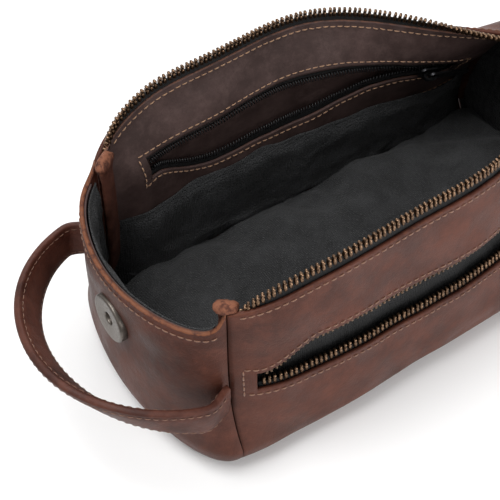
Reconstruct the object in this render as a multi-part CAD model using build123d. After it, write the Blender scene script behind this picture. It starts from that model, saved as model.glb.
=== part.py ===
from build123d import *
import os
from math import cos, exp, hypot, pi, sin

# An open zip-top leather wash bag with a carry loop on its left end.
# Origin: centre of the flat base underside. +X runs along the bag to the closed end of the zip,
# -Y is the panel with the outside pocket, +Z is up. Millimetres.

# ---------------------------------------------------------------- driving dimensions
bag_length = 244.0          # corner seam to corner seam
base_half_depth = 70.0      # half of the base from front to back
base_corner_half = 66.0     # the same at the corner seams
base_radius = 18.0          # rounded long edges of the base
seam_notch = 18.0           # the corner seams are drawn in this much above the base
seam_top_half = 54.0        # corner seam tops from the middle plane
seam_top_height = 112.0     # zip line height at the left corner
crown_rise = 14.0           # how much higher the zip line stands along the bag
crown_run = 60.0            # distance over which it rises
bulge = 16.0                # panels stand this much outside the corner seams
bulge_run = 17.0            # distance over which they do
roof_height = 110.0         # zip line height at the closed end
closed_half = 3.6           # zip tape edge from the middle plane where the teeth are closed
slider_x = 95.0             # the mouth is closed from here on
leather = 2.0
lining = 1.0
clear = 0.9                 # free gap between neighbouring layers
left_bow = 26.0             # how far the left end stands out from its seams
right_bow = 12.0
left_dip = 14.0             # the left end's top edge hangs this much lower in the middle
zip_pitch = 2.54
tooth_wide = 1.15
tooth_reach = 3.8
tooth_thick = 2.4
tape_thick = 0.8
strap_width = 20.0
strap_thick = 4.0
loop_reach = 58.0           # carry loop's reach from the seams
loop_rise = 8.0            # its middle stands this much above its roots
loop_root_height = 53.0
loop_lean = 0.70            # radians the strap's top edge leans outwards at the loop's middle
snap_radius = 12.0
pocket_gap = 6.0            # room inside each flat pocket

left_x = -bag_length / 2
right_x = bag_length / 2


# ---------------------------------------------------------------- the bag's form
def ease(value):
    """Smooth step from 0 to 1."""
    value = min(max(value, 0.0), 1.0)
    return value * value * (3 - 2 * value)


def closing(x):
    """0 where the mouth stands open, 1 where the zip is closed."""
    start = left_x + 96
    value = min(max((x - start) / (slider_x - start), 0.0), 1.0)
    return 1 - (1 - value**2.6) ** 1.25


def mouth_half(x):
    """Zip line's distance from the middle plane."""
    open_half = seam_top_half + bulge * (1 - exp(-(x - left_x) / bulge_run))
    return closed_half + (open_half - closed_half) * (1 - closing(x))


def rim_height(x):
    """Zip line's height."""
    rise = crown_rise * sin(pi / 2 * min((x - left_x) / crown_run, 1.0))
    top = seam_top_height + rise
    return top + (roof_height - top) * ease((x - left_x - 120) / (bag_length - 120))


def foot_half(x):
    """Half depth of the bag just above the base."""
    corner = exp(-(x - left_x) / bulge_run) + exp(-(right_x - x) / bulge_run)
    return base_half_depth - (base_half_depth - base_corner_half) * corner


def section(x, v):
    """Depth and height of the wrap at x: v runs 0 to 0.2 round the base edge, then up to the zip line."""
    foot = foot_half(x)
    if v < 0.2:
        turn = pi / 2 * v / 0.2
        return foot - base_radius + base_radius * sin(turn), base_radius * (1 - cos(turn))
    t = (v - 0.2) / 0.8
    shut = closing(x)
    half = mouth_half(x)
    top = rim_height(x)
    lean = half + 0.62 * max(foot - half, 0.0) * shut
    notch = seam_notch * (exp(-(x - left_x) / bulge_run) + 0.3 * exp(-(right_x - x) / bulge_run))
    points = (
        (foot, base_radius),
        (foot + 3 + 4 * shut - notch, base_radius + 26),
        (lean + 1.5 * (1 - shut), top - 34 + 30 * shut),
        (half, top),
    )
    weights = ((1 - t) ** 3, 3 * t * (1 - t) ** 2, 3 * t * t * (1 - t), t**3)
    depth = sum(w * p[0] for w, p in zip(weights, points))
    height = sum(w * p[1] for w, p in zip(weights, points))
    return depth, height


def wall(side):
    """The front (side -1) or back (side 1) wall as a function of x and v."""

    def point(x, v):
        depth, height = section(x, v)
        return Vector(x, side * depth, height)

    return point


def end(side):
    """The left (side -1) or right (side 1) end as a function of t across it and v up it."""
    seam_x = side * bag_length / 2
    bow = left_bow if side < 0 else right_bow
    dip = left_dip if side < 0 else 2.0

    def point(t, v):
        half, height = section(seam_x, v)
        round_in = 1 - sin(pi / 2 * min(v / 0.24, 1.0))
        reach = bow * (1 - 0.45 * round_in)
        if side > 0:
            reach *= 1 - 0.75 * ease((v - 0.45) / 0.55)
        turn = pi / 2 * t
        drop = dip * v**5 * (1 - abs(t) ** 10)
        return Vector(seam_x + side * reach * cos(turn), half * sin(turn), height - drop)

    return point


def inward(surface, u, v, depth, step=(0.4, 0.004)):
    """Point of a surface moved towards the inside of the bag by depth."""
    here = surface(u, v)
    along = surface(u + step[0], v) - surface(u - step[0], v)
    up = surface(u, min(v + step[1], 1.0)) - surface(u, max(v - step[1], 0.0))
    normal = along.cross(up).normalized()
    middle = Vector(0, 0, base_radius + 40)
    if normal.dot(middle - here) < 0:
        normal = -normal
    return here + normal * depth


def spread(low, high, count):
    """Evenly spaced values."""
    return [low + (high - low) * i / (count - 1) for i in range(count)]


def crowded(low, high, count):
    """Values that crowd towards low, where the corner bulge turns quickest."""
    return [low + (high - low) * (i / (count - 1)) ** 1.6 for i in range(count)]


def vertex_normal(grid, i, j):
    """Unit normal of a grid of points at one of them, towards the middle of the bag."""
    rows = len(grid) - 1
    columns = len(grid[0]) - 1
    along = grid[min(i + 1, rows)][j] - grid[max(i - 1, 0)][j]
    across = grid[i][min(j + 1, columns)] - grid[i][max(j - 1, 0)]
    normal = along.cross(across).normalized()
    return normal


def skin(grid, thickness):
    """A closed sheet of flat facets: a grid of points and the same grid moved in by the thickness."""
    rows = range(len(grid))
    columns = range(len(grid[0]))
    middle = Vector(0, 0, base_radius + 40)
    centre = grid[len(grid) // 2][len(grid[0]) // 2]
    inner_way = vertex_normal(grid, len(grid) // 2, len(grid[0]) // 2).dot(middle - centre)
    move = thickness if inner_way > 0 else -thickness
    other = [[grid[i][j] + vertex_normal(grid, i, j) * move for j in columns] for i in rows]
    faces = []
    for layer in (grid, other):
        for i in rows[:-1]:
            for j in columns[:-1]:
                faces += quad(layer[i][j], layer[i + 1][j], layer[i + 1][j + 1], layer[i][j + 1])
    for i in rows[:-1]:
        for j in (0, columns[-1]):
            faces += quad(grid[i][j], grid[i + 1][j], other[i + 1][j], other[i][j])
    for j in columns[:-1]:
        for i in (0, rows[-1]):
            faces += quad(grid[i][j], grid[i][j + 1], other[i][j + 1], other[i][j])
    solid = Solid(Shell(faces))
    return solid if solid.volume > 0 else -solid


def quad(a, b, c, d):
    """Two flat triangles across four corners."""
    return [Face(Wire.make_polygon([a, b, c])), Face(Wire.make_polygon([a, c, d]))]


def height_to_v(x, height):
    """The v at which the wall reaches a height."""
    low, high = 0.2, 1.0
    for _ in range(30):
        middle = (low + high) / 2
        if section(x, middle)[1] < height:
            low = middle
        else:
            high = middle
    return low


def wall_at(side, x, height, depth):
    """Point of a wall at x and height, moved inwards by depth."""
    return inward(wall(side), x, height_to_v(x, height), depth)


def below_zip(x, down):
    """The v that lies down millimetres below the zip line, measured along the wall."""
    v = 1.0
    gone = 0.0
    here = section(x, v)
    while gone < down:
        v -= 0.005
        there = section(x, v)
        gone += hypot(there[0] - here[0], there[1] - here[1])
        here = there
    return v


# ---------------------------------------------------------------- leather shell
tape_show = 6.0             # tape seen between the leather's edge and the teeth


def wall_stations():
    """Places along a wall, closest where the corner bulge turns quickest."""
    return crowded(left_x + 0.3, right_x - 2.4, 20)


def shell_wall(side):
    grid = []
    for x in wall_stations():
        top = below_zip(x, tape_show)
        grid.append([wall(side)(x, v) for v in spread(0.0, top, 9)])
    return skin(grid, leather)


def base_outline(gap):
    """Plan of the base between the two walls, with both ends bowed."""
    xs = spread(left_x + 1, right_x - 3, 7)
    near_edge = Spline(*[(x, -(foot_half(x) - base_radius - gap)) for x in xs])
    far_edge = Spline(*[(x, foot_half(x) - base_radius - gap) for x in xs])
    inset = leather + clear
    left_edge = ThreePointArc(near_edge @ 0, (end(-1)(0.0, 0.0).X + inset, 0), far_edge @ 0)
    right_edge = ThreePointArc(near_edge @ 1, (end(1)(0.0, 0.0).X - inset, 0), far_edge @ 1)
    return make_face([near_edge, right_edge, far_edge, left_edge])


def base_panel():
    return extrude(base_outline(1.15), leather)


def shell_end(side):
    grid = []
    for t in spread(-0.985, 0.985, 13):
        top = 0.96 if side < 0 else 0.91
        grid.append([end(side)(t, v) for v in spread(0.0, top, 9)])
    return skin(grid, leather)


# ---------------------------------------------------------------- pockets
class Pocket:
    """A zipped slit in one wall: its line, its gape and how deep its layers lie."""

    def __init__(self, side, start, stop, height, rise, gape, lean, open_run, hold, layer):
        self.side = side
        self.start = start
        self.stop = stop
        self.height = height
        self.rise = rise
        self.gape = gape
        self.lean = lean
        self.open_run = open_run
        self.hold = hold
        self.layer = layer

    def centre(self, x):
        """Height of the slit's middle; lean 1 keeps its lower lip straight, -1 its upper lip."""
        s = (x - self.start) / (self.stop - self.start)
        line = self.height + self.rise * sin(pi * min(max(s, 0.0), 1.0))
        return line + self.lean * (self.half_gape(x) - closed_half)

    def half_gape(self, x):
        """Tape edge from the slit's middle: closed at the slider, quick to open at the start."""
        opening = ease((x - self.start) / self.open_run)
        shut_run = self.stop - pocket_closed - self.start - self.hold
        shutting = 1 - ease((x - self.start - self.hold) / shut_run)
        return closed_half + (self.gape / 2 - closed_half) * opening * shutting

    def at(self, x, away, lift):
        """Point away millimetres above the slit's middle, lifted off the slit's own layer inwards."""
        v = height_to_v(x, self.centre(x) + away)
        return inward(wall(self.side), x, v, self.layer(v) + lift)

    def edge(self, x, sign, away, lift):
        """Point away millimetres past the tape edge on the upper (1) or lower (-1) lip."""
        return self.at(x, sign * (self.half_gape(x) + away), lift)


def liner_layer(v):
    """Depth of the lining and the facing under the leather: deep low down, close at the rim."""
    return liner_depth - (liner_depth - leather - tape_thick - 2 * clear) * ease((v - 0.80) / 0.14)


pocket_closed = 22.0        # closed chain beyond each pocket's gape
liner_depth = leather + 2 * clear + pocket_gap + lining + tape_thick + 2.0
facing_thick = 1.4
outer_pocket = Pocket(-1, -112.0, 100.0, 61.5, 1.0, 21.0, 1, 28.0, 120.0, lambda v: leather)
inner_pocket = Pocket(1, -98.0, 84.0, 86.0, 4.0, 24.0, -1, 46.0, 90.0, liner_layer)


def window(pocket, margin):
    """Cutter for the slit in leather or lining, margin outside the tape edges."""
    xs = spread(pocket.start, pocket.stop, 10)
    upper = [(p.X, p.Z) for p in (pocket.edge(x, 1, margin, 0.0) for x in xs)]
    lower = [(p.X, p.Z) for p in (pocket.edge(x, -1, margin, 0.0) for x in xs)]
    top = Spline(*upper)
    bottom = Spline(*lower)
    left_side = Line(bottom @ 0, top @ 0)
    right_side = Line(bottom @ 1, top @ 1)
    face = Plane.XZ * make_face([top, left_side, bottom, right_side])
    reach = -pocket.side * (base_half_depth + 20)
    return extrude(face, reach)


def pocket_tape(pocket, sign, lift):
    """Tape along one lip, lift off the pocket's layer."""
    grid = []
    for x in spread(pocket.start + 1, pocket.stop - 1, 17):
        grid.append([pocket.edge(x, sign, away, lift) for away in (2.7, 5.5, 9.0)])
    return skin(grid, tape_thick)


def row_of_teeth(line_point, start, stop, shift, block):
    """Teeth every pitch along a line; line_point gives a place, the way up and the way out."""
    teeth = []
    x = start
    gone = shift
    while x < stop:
        here, up, out = line_point(x)
        ahead = line_point(x + 0.2)[0]
        speed = (ahead - here).length / 0.2
        gone += speed * 0.2
        x += 0.2
        if gone >= zip_pitch:
            gone -= zip_pitch
            place = Plane(here + up * (block[1] / 2 - 1.2), x_dir=up.cross(out), z_dir=up)
            teeth.append(place * Box(block[0], block[2], block[1]))
    return Compound(children=teeth)


def pocket_line(pocket, sign, lift):
    """Place, way to the slit's middle and way out of the wall along one lip."""

    def at(x):
        here = pocket.edge(x, sign, 0.0, lift)
        beyond = pocket.edge(x, sign, -1.0, lift)
        deeper = pocket.edge(x, sign, 0.0, lift + 1.0)
        return here, (beyond - here).normalized(), (here - deeper).normalized()

    return at


def pocket_teeth(pocket, sign, lift):
    shift = 0.0 if sign < 0 else zip_pitch / 2
    block = (tooth_wide, tooth_reach - 0.6, tooth_thick)
    line = pocket_line(pocket, sign, lift)
    return row_of_teeth(line, pocket.start + 4, pocket.stop - 3, shift, block)


def coil(pocket, sign, lift):
    """Moulded coil of the small zip, as one bead along the tape edge."""
    grid = []
    for x in spread(pocket.start + 3, pocket.stop - 3, 17):
        grid.append([pocket.edge(x, sign, away, lift) for away in (-2.6, -1.4, 0.2)])
    return skin(grid, 1.5)


def dish(value, low, high, run):
    """1 inside a span, falling to 0 over run at both of its ends."""
    return ease((value - low) / run) * ease((high - value) / run)


def pouch(pocket, bottom, rim_lift, belly):
    """The pocket's cloth bag: one dished sheet behind the slit, its rim lying against the layer."""
    low_x = pocket.start - 4
    high_x = pocket.stop + 10
    grid = []
    for x in spread(low_x, high_x, 17):
        top = pocket.half_gape(x) + 12
        low = bottom - pocket.centre(x)
        row = []
        for away in spread(low, top, 11):
            shape = dish(x, low_x, high_x, 14) * dish(away, low, top, 12)
            lift = rim_lift + belly * shape
            floor_lift = leather + 0.7 - pocket.layer(height_to_v(x, pocket.centre(x) + away))
            row.append(pocket.at(x, away, max(lift, floor_lift)))
        grid.append(row)
    return skin(grid, lining)


# ---------------------------------------------------------------- lining, facing, floor
liner_low = 24.0            # the side linings start above the floor pad's edge
facing_low = 57.0           # the leather facing on the back wall starts here


def lining_wall(side, low, high, thickness, layer):
    """Inner layer of a wall between two heights, or up to the zip tape where high is None."""
    grid = []
    for x in spread(left_x + 16, right_x - 16, 14):
        bottom = height_to_v(x, low)
        top = below_zip(x, 12.0) if high is None else height_to_v(x, high)
        grid.append([inward(wall(side), x, v, layer(v)) for v in spread(bottom, top, 10)])
    return skin(grid, thickness)


end_step = (0.02, 0.01)      # steps for normals on the ends


def lining_end(side):
    grid = []
    for t in spread(-0.8, 0.8, 13):
        top = 0.89 if side < 0 else 0.8
        row = [inward(end(side), t, v, leather + clear, end_step) for v in spread(0.24, top, 10)]
        grid.append(row)
    return skin(grid, lining)


def end_hem(side):
    """Folded leather binding along the inside of an end's top edge."""
    top = 0.955 if side < 0 else 0.905
    grid = []
    for t in spread(-0.78, 0.78, 15):
        row = [inward(end(side), t, v, leather + clear, end_step) for v in spread(top - 0.045, top, 4)]
        grid.append(row)
    return skin(grid, 1.2)


def plain_plan(low_margin, low_z, height, radius):
    """A flat piece that lies on the base, inset from the shell."""
    y = base_corner_half - low_margin
    x_left = left_x - 6 + low_margin / 2
    x_right = right_x - low_margin / 2
    middle = (x_left + x_right) / 2
    plan = Pos(middle, 0, low_z) * RectangleRounded(x_right - x_left, 2 * y, radius)
    return extrude(plan, height)


def base_board():
    return plain_plan(22.0, leather + clear, 2.0, 12.0)


def floor_pad():
    """Padded floor under the lining."""
    block = plain_plan(14.5, leather + 2 * clear + 2.0, 17.0, 22.0)
    return fillet(block.edges().group_by(Axis.Z)[-1], 6.0)


def corner_binding(x_side, y_side):
    """Leather strip over a corner seam, inside the bag."""
    seam_x = x_side * bag_length / 2
    narrow = 8.5 if x_side < 0 else 6.0
    grid = []
    for across in spread(-narrow / 2, narrow / 2, 4):
        row = []
        for v in spread(0.24, 0.93 if x_side < 0 else 0.62, 10):
            depth, height = section(seam_x, v)
            set_in = 7.0
            x = seam_x - x_side * (set_in + across * 0.7)
            y = y_side * (depth - set_in + across * 0.7)
            row.append(Vector(x, y, height))
        grid.append(row)
    return skin(grid, 2.6)


# ---------------------------------------------------------------- main zip
def main_line(side):
    def at(x):
        here = wall(side)(x, 1.0)
        below = wall(side)(x, 0.985)
        up = (here - below).normalized()
        ahead = wall(side)(x + 0.5, 1.0)
        along = (ahead - here).normalized()
        out = up.cross(along).normalized()
        middle = inward(wall(side), x, 0.995, 1.0) - wall(side)(x, 0.995)
        if out.dot(middle) > 0:
            out = -out
        return here + middle * (leather + clear), up, out

    return at


def main_tape(side):
    grid = []
    for x in [left_x + 9] + [x for x in wall_stations() if x > left_x + 10]:
        bottom = below_zip(x, tape_show + 6)
        top = below_zip(x, 1.6)
        grid.append([inward(wall(side), x, v, leather + clear + 0.85) for v in spread(bottom, top, 3)])
    return skin(grid, tape_thick)


def main_teeth(side):
    shift = 0.0 if side < 0 else zip_pitch / 2
    block = (tooth_wide, tooth_reach, tooth_thick)
    return row_of_teeth(main_line(side), left_x + 12, right_x - 6, shift, block)


def slider(place, chain_thick):
    """Zip slider: two plates joined by a thin post, under a bail that holds the puller."""
    long, wide, plate = 12.0, 9.0, 1.1
    half_gap = chain_thick / 2 + 0.9
    nose = RectangleRounded(long, wide, 3.0)
    upper = Pos(0, 0, half_gap) * extrude(nose, plate)
    lower = Pos(0, 0, -half_gap - plate) * extrude(nose, plate)
    post = Pos(-long / 2 + 2.2, 0, 0) * Box(3.0, 0.7, 2 * half_gap)
    arch = Plane.XZ * (SlotOverall(8.0, 5.0) - SlotOverall(5.4, 2.4))
    bail = Pos(0, 0, half_gap + plate + 1.7) * extrude(arch, 0.9, both=True)
    trim = Pos(0, 0, half_gap + plate / 2 - 5) * Box(20, 20, 10)
    return place * (upper + lower + post + (bail - trim))


def bail_lift(chain_thick):
    """Height of the puller's pivot above the middle of the chain."""
    return chain_thick / 2 + 0.9 + 1.1 + 1.7


def puller(place, chain_thick, length, width, thickness):
    """Flat puller with a slot round the bail, lying along the closed chain."""
    lift = bail_lift(chain_thick)
    blade = Pos(length / 2 - 0.8, 0) * SlotOverall(length, width)
    hole = RectangleRounded(4.2, 2.8, 0.6)
    bar = Pos(2.9, 0) * hole
    return place * (Pos(0, 0, lift) * extrude(blade - bar, thickness / 2, both=True))


def chain_place(line_low, line_high, x):
    """Plane on a closed chain: x along it, z out of the bag."""
    here_a, up, out = line_low(x)
    here_b = line_high(x)[0]
    ahead = (line_low(x + 2)[0] + line_high(x + 2)[0]) / 2
    middle = (here_a + here_b) / 2
    along = (ahead - middle).normalized()
    return Plane(middle, x_dir=along, z_dir=along.cross(here_b - here_a))


def save(node, shape):
    solids = shape.solids()
    whole = solids[0] if len(solids) == 1 else Compound(children=list(solids))
    whole.label = node
    export_step(whole, f"parts/{node}.step")


# ---------------------------------------------------------------- handle and snap
def loop_frame():
    """Carry loop's plane: it leaves the end at the seams and rises a little."""
    reach = Vector(-loop_reach, 0, loop_rise).normalized()
    root = Vector(left_x - 3.0, 0, loop_root_height)
    return Plane(root, x_dir=reach, z_dir=reach.cross(Vector(0, 1, 0)))


loop_half = 65.0            # loop's half width at its widest
root_tuck = 0.06            # how far its roots curl back in, as a part of that


def loop_path():
    """Rounded middle line of the loop, in its own plane, with its roots curled in to the seams."""
    size = Vector(loop_reach, 0, loop_rise).length
    path = []
    for s in spread(-0.95, 0.95, 19):
        across = loop_half * sin(pi / 2 * s) * (1 - root_tuck * ease((abs(s) - 0.78) / 0.22))
        path.append((s, size * cos(pi / 2 * s) ** 1.15, across))
    return path


def handle_strap():
    """Flat strap bent on the loop: upright at its roots, its top edge leaning out at the middle."""
    frame = loop_frame()
    path = loop_path()
    places = [frame.from_local_coords(Vector(reach, across, 0)) for s, reach, across in path]
    grid = []
    for i, place in enumerate(places):
        before = places[max(i - 1, 0)]
        after = places[min(i + 1, len(places) - 1)]
        along = (after - before).normalized()
        outwards = frame.z_dir.cross(along)
        turn = loop_lean * cos(pi / 2 * path[i][0]) ** 1.5
        width = frame.z_dir * cos(turn) + outwards * sin(turn)
        grid.append([place + width * w for w in spread(-strap_width / 2, strap_width / 2, 4)])
    return skin(grid, strap_thick)


def snap_place():
    """Middle of the left end's outer face, under the dipped edge."""
    here = end(-1)(0.0, 0.66)
    lower = end(-1)(0.0, 0.62)
    up = (here - lower).normalized()
    out = Vector(0, 1, 0).cross(up)
    if out.X > 0:
        out = -out
    return Plane(here, x_dir=Vector(0, 1, 0), z_dir=out)


def snap_socket():
    """Magnetic snap's socket: a domed ring with a centre hole."""
    disc = Pos(0, 0, 0.2) * extrude(Circle(snap_radius), 3.6)
    disc = fillet(disc.edges().group_by(Axis.Z)[-1], 1.2)
    return snap_place() * (disc - Pos(0, 0, 1.4) * extrude(Circle(3.2), 6.0))


def snap_post():
    return snap_place() * (Pos(0, 0, 1.5) * extrude(Circle(1.5), 1.4))


# ---------------------------------------------------------------- sliders in place
metal_lift = 1.4            # outer pocket chain, in from the leather's inner face
coil_lift = -1.1            # inner pocket chain, out from the facing
coil_thick = 1.5
main_slider_x = 99.0
outer_slider_x = 86.0
inner_slider_x = 70.0
puller_thick = 1.2


def main_place():
    return chain_place(main_line(-1), main_line(1), main_slider_x)


def pocket_place(pocket, lift, x):
    lower = pocket_line(pocket, -1, lift)
    upper = pocket_line(pocket, 1, lift)
    return chain_place(lower, upper, x)


def pull_tab():
    """Leather tab folded over the end of the main puller."""
    tab = extrude(Pos(34, 0) * SlotOverall(46, 15), 1.7, both=True)
    room = Pos(13, 0, 0) * Box(22.4, 8.4, puller_thick + 0.4)
    return main_place() * (Pos(0, 0, bail_lift(tooth_thick)) * (tab - room))


def snap_stud():
    """Second half of the magnetic snap, on the pull tab's end."""
    stud = fillet(extrude(Circle(6.5), 2.2).edges().group_by(Axis.Z)[-1], 0.8)
    return main_place() * (Pos(47, 0, bail_lift(tooth_thick) + 1.75) * stud)


def zip_stop(side):
    """Square metal stop at the left end of one row."""
    here, up, out = main_line(side)(left_x + 10.5)
    return Plane(here + up * 0.9, x_dir=up.cross(out), z_dir=up) * Box(1.8, 2.8, 4.4)


def end_tab():
    """Leather patch folded over the closed end of the main zip."""
    place = main_place()
    patch = extrude(RectangleRounded(8.0, 15.0, 1.5), 0.8)
    return place * (Pos(right_x - main_slider_x - 5.5, 0, 2.1) * patch)


PARTS = {
    "front_panel": lambda: shell_wall(-1) - window(outer_pocket, 3.4),
    "back_panel": lambda: shell_wall(1),
    "base_panel": base_panel,
    "left_end_panel": lambda: shell_end(-1),
    "right_end_panel": lambda: shell_end(1),
    "left_end_hem": lambda: end_hem(-1),
    "right_end_hem": lambda: end_hem(1),
    "liner_front": lambda: lining_wall(-1, liner_low, None, lining, liner_layer),
    "liner_back": lambda: lining_wall(1, liner_low, facing_low - 1.0, lining, liner_layer),
    "back_facing": lambda: lining_wall(1, facing_low, None, facing_thick, liner_layer)
    - window(inner_pocket, 3.4),
    "liner_left": lambda: lining_end(-1),
    "liner_right": lambda: lining_end(1),
    "base_board": base_board,
    "floor_pad": floor_pad,
    "binding_front_left": lambda: corner_binding(-1, -1),
    "binding_back_left": lambda: corner_binding(-1, 1),
    "binding_front_right": lambda: corner_binding(1, -1),
    "binding_back_right": lambda: corner_binding(1, 1),
    "main_tape_front": lambda: main_tape(-1),
    "main_tape_back": lambda: main_tape(1),
    "main_teeth_front": lambda: main_teeth(-1),
    "main_teeth_back": lambda: main_teeth(1),
    "main_stop_front": lambda: zip_stop(-1),
    "main_stop_back": lambda: zip_stop(1),
    "main_end_tab": end_tab,
    "main_slider": lambda: slider(main_place(), tooth_thick),
    "main_puller": lambda: puller(main_place(), tooth_thick, 24.0, 8.0, puller_thick),
    "pull_tab": pull_tab,
    "snap_stud": snap_stud,
    "pocket_tape_upper": lambda: pocket_tape(outer_pocket, 1, 1.0),
    "pocket_tape_lower": lambda: pocket_tape(outer_pocket, -1, 1.0),
    "pocket_teeth_upper": lambda: pocket_teeth(outer_pocket, 1, metal_lift),
    "pocket_teeth_lower": lambda: pocket_teeth(outer_pocket, -1, metal_lift),
    "pocket_pouch": lambda: pouch(outer_pocket, 26.0, 2.8, pocket_gap),
    "pocket_slider": lambda: slider(pocket_place(outer_pocket, metal_lift, outer_slider_x), tooth_thick),
    "pocket_puller": lambda: puller(
        pocket_place(outer_pocket, metal_lift, outer_slider_x), tooth_thick, 26.0, 6.5, puller_thick
    ),
    "inner_tape_upper": lambda: pocket_tape(inner_pocket, 1, -1.6),
    "inner_tape_lower": lambda: pocket_tape(inner_pocket, -1, -1.6),
    "inner_coil_upper": lambda: coil(inner_pocket, 1, coil_lift - coil_thick / 2),
    "inner_coil_lower": lambda: coil(inner_pocket, -1, coil_lift - coil_thick / 2),
    "inner_pouch": lambda: pouch(inner_pocket, 48.0, -3.4, -pocket_gap),
    "inner_slider": lambda: slider(pocket_place(inner_pocket, coil_lift, inner_slider_x), coil_thick),
    "inner_puller": lambda: puller(
        pocket_place(inner_pocket, coil_lift, inner_slider_x), coil_thick, 24.0, 6.0, puller_thick
    ),
    "handle_strap": handle_strap,
    "snap_socket": snap_socket,
    "snap_post": snap_post,
}

if __name__ == "__main__":
    os.makedirs("parts", exist_ok=True)
    for name, make in PARTS.items():
        save(name, make())
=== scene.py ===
import math
import bmesh
import bpy
import numpy as np
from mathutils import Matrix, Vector, noise


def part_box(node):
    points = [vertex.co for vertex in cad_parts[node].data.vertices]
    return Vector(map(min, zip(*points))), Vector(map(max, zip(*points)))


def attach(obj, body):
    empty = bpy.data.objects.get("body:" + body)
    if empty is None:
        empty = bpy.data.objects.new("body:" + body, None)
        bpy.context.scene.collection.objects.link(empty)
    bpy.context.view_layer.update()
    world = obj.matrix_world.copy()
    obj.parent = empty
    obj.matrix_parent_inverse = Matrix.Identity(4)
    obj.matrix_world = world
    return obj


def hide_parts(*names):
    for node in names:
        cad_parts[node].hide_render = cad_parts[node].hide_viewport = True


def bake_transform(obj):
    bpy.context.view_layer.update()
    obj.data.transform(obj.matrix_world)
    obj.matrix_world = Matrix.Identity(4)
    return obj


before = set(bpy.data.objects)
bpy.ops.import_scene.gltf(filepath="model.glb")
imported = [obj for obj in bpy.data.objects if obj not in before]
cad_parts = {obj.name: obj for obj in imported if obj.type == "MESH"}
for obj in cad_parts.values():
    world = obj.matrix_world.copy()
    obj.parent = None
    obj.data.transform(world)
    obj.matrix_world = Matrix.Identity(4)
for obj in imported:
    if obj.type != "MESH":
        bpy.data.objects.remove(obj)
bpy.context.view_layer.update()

# An open leather wash bag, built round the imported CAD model. Lengths here are millimetres and
# become metres when a mesh is made.

MM = 0.001


def cad_box(node):
    """Lowest and highest corner of a CAD node, in millimetres."""
    low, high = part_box(node)
    return np.array(low) / MM, np.array(high) / MM


# ---------------------------------------------------------------- driving sizes, from the frame
left_x = cad_box("front_panel")[0][0] - 0.3
right_x = -left_x
bag_length = right_x - left_x
leather = cad_box("base_panel")[1][2]
base_radius = 18.0
base_half_depth = 70.0
base_corner_half = 66.0
seam_notch = 18.0
seam_top_half = 54.0
seam_top_height = 112.0
crown_rise = 14.0
crown_run = 60.0
bulge = 16.0
bulge_run = 17.0
roof_height = 110.0
closed_half = 3.6
closed_from = 95.0
left_bow = left_x - cad_box("left_end_panel")[0][0]
right_bow = cad_box("right_end_panel")[1][0] - right_x
left_dip = 14.0
zip_pitch = 2.54
tape_show = 5.0
tape_thick = 0.7
zip_clear = 0.9
facing_thick = 1.3
facing_low = 57.0
stitch_pitch = 3.7
end_tops = {-1: 0.965, 1: 0.915}      # v of each end panel's top edge, left and right
middle_of_bag = np.array((0, 0, 58.0))
wall_step = 0.5                       # steps along x, t and v over which a surface's slope is taken
end_step = 0.01
v_step = 0.006
fine = 1              # divides the mesh counts


# ---------------------------------------------------------------- the bag's form
def ease(value):
    value = min(max(value, 0.0), 1.0)
    return value * value * (3 - 2 * value)


def spread(low, high, count):
    return [low + (high - low) * i / (count - 1) for i in range(count)]


def closing(x):
    start = left_x + 96
    value = min(max((x - start) / (closed_from - start), 0.0), 1.0)
    return 1 - (1 - value**2.6) ** 1.25


def mouth_half(x):
    open_half = seam_top_half + bulge * (1 - math.exp(-(x - left_x) / bulge_run))
    return closed_half + (open_half - closed_half) * (1 - closing(x))


def rim_height(x):
    rise = crown_rise * math.sin(math.pi / 2 * min((x - left_x) / crown_run, 1.0))
    top = seam_top_height + rise
    return top + (roof_height - top) * ease((x - left_x - 120) / (bag_length - 120))


def foot_half(x):
    corner = math.exp(-(x - left_x) / bulge_run) + math.exp(-(right_x - x) / bulge_run)
    return base_half_depth - (base_half_depth - base_corner_half) * corner


def section(x, v):
    """Depth and height of the wrap at x, for v from 0 at the flat base to 1 at the zip line."""
    foot = foot_half(x)
    if v < 0.2:
        turn = math.pi / 2 * v / 0.2
        depth = foot - base_radius + base_radius * math.sin(turn)
        return depth, base_radius * (1 - math.cos(turn))
    t = (v - 0.2) / 0.8
    shut = closing(x)
    half = mouth_half(x)
    top = rim_height(x)
    lean = half + 0.62 * max(foot - half, 0.0) * shut
    notch = seam_notch * (math.exp(-(x - left_x) / bulge_run) + 0.3 * math.exp(-(right_x - x) / bulge_run))
    points = (
        (foot, base_radius),
        (foot + 3 + 4 * shut - notch, base_radius + 26),
        (lean + 1.5 * (1 - shut), top - 34 + 30 * shut),
        (half, top),
    )
    weights = ((1 - t) ** 3, 3 * t * (1 - t) ** 2, 3 * t * t * (1 - t), t**3)
    depth = sum(w * p[0] for w, p in zip(weights, points))
    height = sum(w * p[1] for w, p in zip(weights, points))
    return depth, height


def softness(place, seed, size, amount):
    """Slow leather undulation."""
    return amount * noise.noise(Vector(place) / size + Vector((seed, 2.3 * seed, 0)))


def wall_point(side, x, v):
    """Outer face of the front wall (side -1) or the back wall (side 1)."""
    depth, height = section(x, v)
    free = ease(v / 0.25) * ease((1 - v) / 0.3) * ease((x - left_x) / 30) * ease((right_x - x) / 30)
    place = (x, depth * side, height)
    wave = softness(place, 3.1 + side, 46, 2.2) + softness(place, 7.7, 19, 0.7)
    rim_wave = 1.1 * math.sin((x - left_x) / 17.0 + side) * ease((v - 0.55) / 0.45)
    rim_wave *= ease((x - left_x - 25) / 30)
    rim_wave *= ease((right_x - x) / 60)
    return np.array((x, side * (depth + wave * free + rim_wave), height))


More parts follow.
